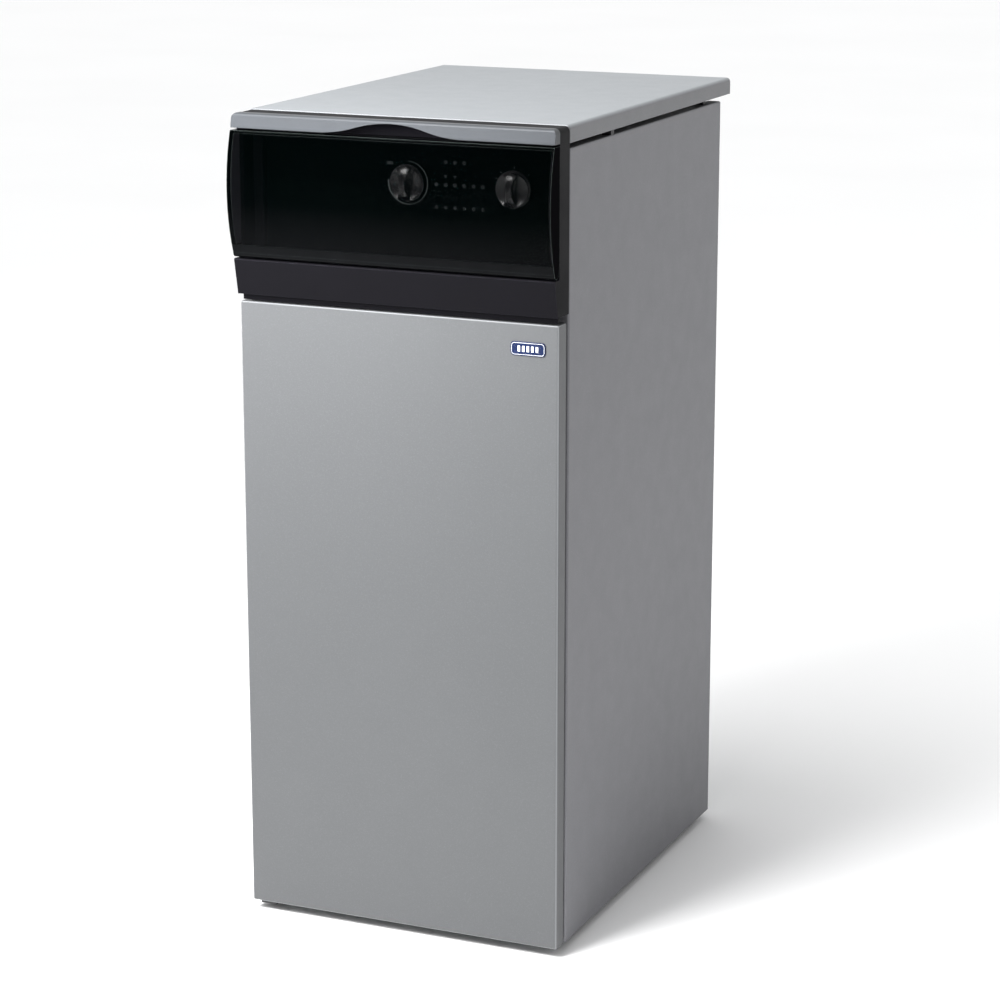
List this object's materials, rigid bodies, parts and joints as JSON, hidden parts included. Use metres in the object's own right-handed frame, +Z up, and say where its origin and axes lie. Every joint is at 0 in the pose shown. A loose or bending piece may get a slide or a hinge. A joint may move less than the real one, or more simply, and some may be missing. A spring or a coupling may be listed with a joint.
{
  "type": "floor-standing gas boiler",
  "caption": "Narrow floor-standing gas boiler: grey steel casing with a hinged front door, smoked flap over the control panel, cast-iron heat exchanger and atmospheric burner inside.",
  "frame": {"origin": "on the floor, under the centre of the bounding box", "axes": "+X to the right when facing the door, +Y from the door to the rear, +Z up"},
  "size_m": [0.35, 0.515, 0.85],
  "materials": {
    "casing": "satin powder coat, grey",
    "casing_top": "satin powder coat, light grey",
    "casing_door": "satin powder coat, grey",
    "galvanised": "galvanised sheet",
    "black_steel": "black heat-resistant paint",
    "aluminised": "aluminised steel tube",
    "black_plastic": "moulded, black",
    "foot_plastic": "moulded, black",
    "zinc": "zinc plated",
    "panel_plastic": "fine-grained moulding, charcoal",
    "silver_trim": "silver satin lacquer",
    "smoked_glass": "smoked glossy acrylic",
    "fascia_black": "black",
    "knob_black": "satin black",
    "light_guide": "clear light guide, unlit",
    "circuit_board": "green circuit board",
    "badge_blue": "dark blue with a pale rim",
    "cast_iron": "as cast, dark grey",
    "sight_glass": "clear borosilicate",
    "pipe_steel": "plain steel",
    "brass": "turned brass",
    "red_lever": "red enamel",
    "foil_wool": "glass wool faced with aluminium foil",
    "thermostat": "phenolic with a metal cap",
    "stainless": "stainless steel",
    "valve_aluminium": "die cast",
    "gas_pipe": "yellow ochre paint",
    "ceramic": "glazed steatite",
    "lead_sleeve": "silicone sleeve, dark grey"
  },
  "bodies": {
    "casing": {"base_frame": "galvanised", "burner_bars": "stainless", "burner_tray": "galvanised", "cable_glands": "black_plastic", "chamber_plate": "black_steel", "control_box": "galvanised", "control_box_cover": "galvanised", "control_frame": "panel_plastic", "cover_supports": "black_plastic", "door_hinge_brackets": "black_steel", "door_magnets": "black_plastic", "drain_cock_body": "brass", "draught_diverter": "galvanised", "electrodes": "ceramic", "fascia_plate": "fascia_black", "flow_pipe": "pipe_steel", "flue_collector": "galvanised", "flue_spigot": "aluminised", "flue_thermostat": "thermostat", "front_crossmember": "galvanised", "front_section": "cast_iron", "gas_inlet_pipe": "gas_pipe", "gas_manifold": "pipe_steel", "gas_valve": "valve_aluminium", "gas_valve_coils": "black_plastic", "grip_trim": "silver_trim", "indicator_board": "circuit_board", "indicator_lights": "light_guide", "injectors": "brass", "insulation_front": "foil_wool", "insulation_jacket": "foil_wool", "leads": "lead_sleeve", "levelling_feet": "foot_plastic", "m10_nuts": "zinc", "main_board": "circuit_board", "manifold_pipe": "gas_pipe", "middle_section": "cast_iron", "rear_panel": "galvanised", "rear_panel_screws": "zinc", "rear_section": "cast_iron", "return_pipe": "pipe_steel", "section_nipples": "zinc", "selector_switch": "black_plastic", "side_panel_left": "casing", "side_panel_right": "casing", "sight_glass": "sight_glass", "sight_glass_ring": "zinc", "support_rails": "galvanised", "temperature_potentiometer": "black_plastic", "temperature_sensor": "brass", "tie_rods": "zinc", "top_cover": "casing_top"},
    "door": {"door_shell": "casing_door", "door_inner_panel": "galvanised", "door_badge": "badge_blue"},
    "flap": {"flap": "smoked_glass", "flap_pins": "zinc"},
    "temperature_knob": {"temperature_knob": "knob_black"},
    "selector_knob": {"selector_knob": "knob_black"},
    "drain_lever": {"drain_cock_lever": "red_lever"}
  },
  "joints": [
    {"name": "door_hinge", "type": "hinge", "parent": "casing", "child": "door", "pos_m": [-0.163, -0.225, 0.334], "axis": [0, 0, -1], "range_deg": [0, 100]},
    {"name": "flap_hinge", "type": "hinge", "parent": "casing", "child": "flap", "pos_m": [0, -0.2415, 0.7095], "axis": [1, 0, 0], "range_deg": [0, 90]},
    {"name": "temperature_turn", "type": "hinge", "parent": "casing", "child": "temperature_knob", "pos_m": [0, -0.21, 0.784], "axis": [0, 1, 0], "range_deg": [0, 270]},
    {"name": "selector_turn", "type": "hinge", "parent": "casing", "child": "selector_knob", "pos_m": [0.1145, -0.21, 0.784], "axis": [0, 1, 0], "range_deg": [-63, 46]},
    {"name": "drain_turn", "type": "hinge", "parent": "casing", "child": "drain_lever", "pos_m": [0.112, -0.13, 0.108], "axis": [0, 1, 0], "range_deg": [0, 90]}
  ]
}
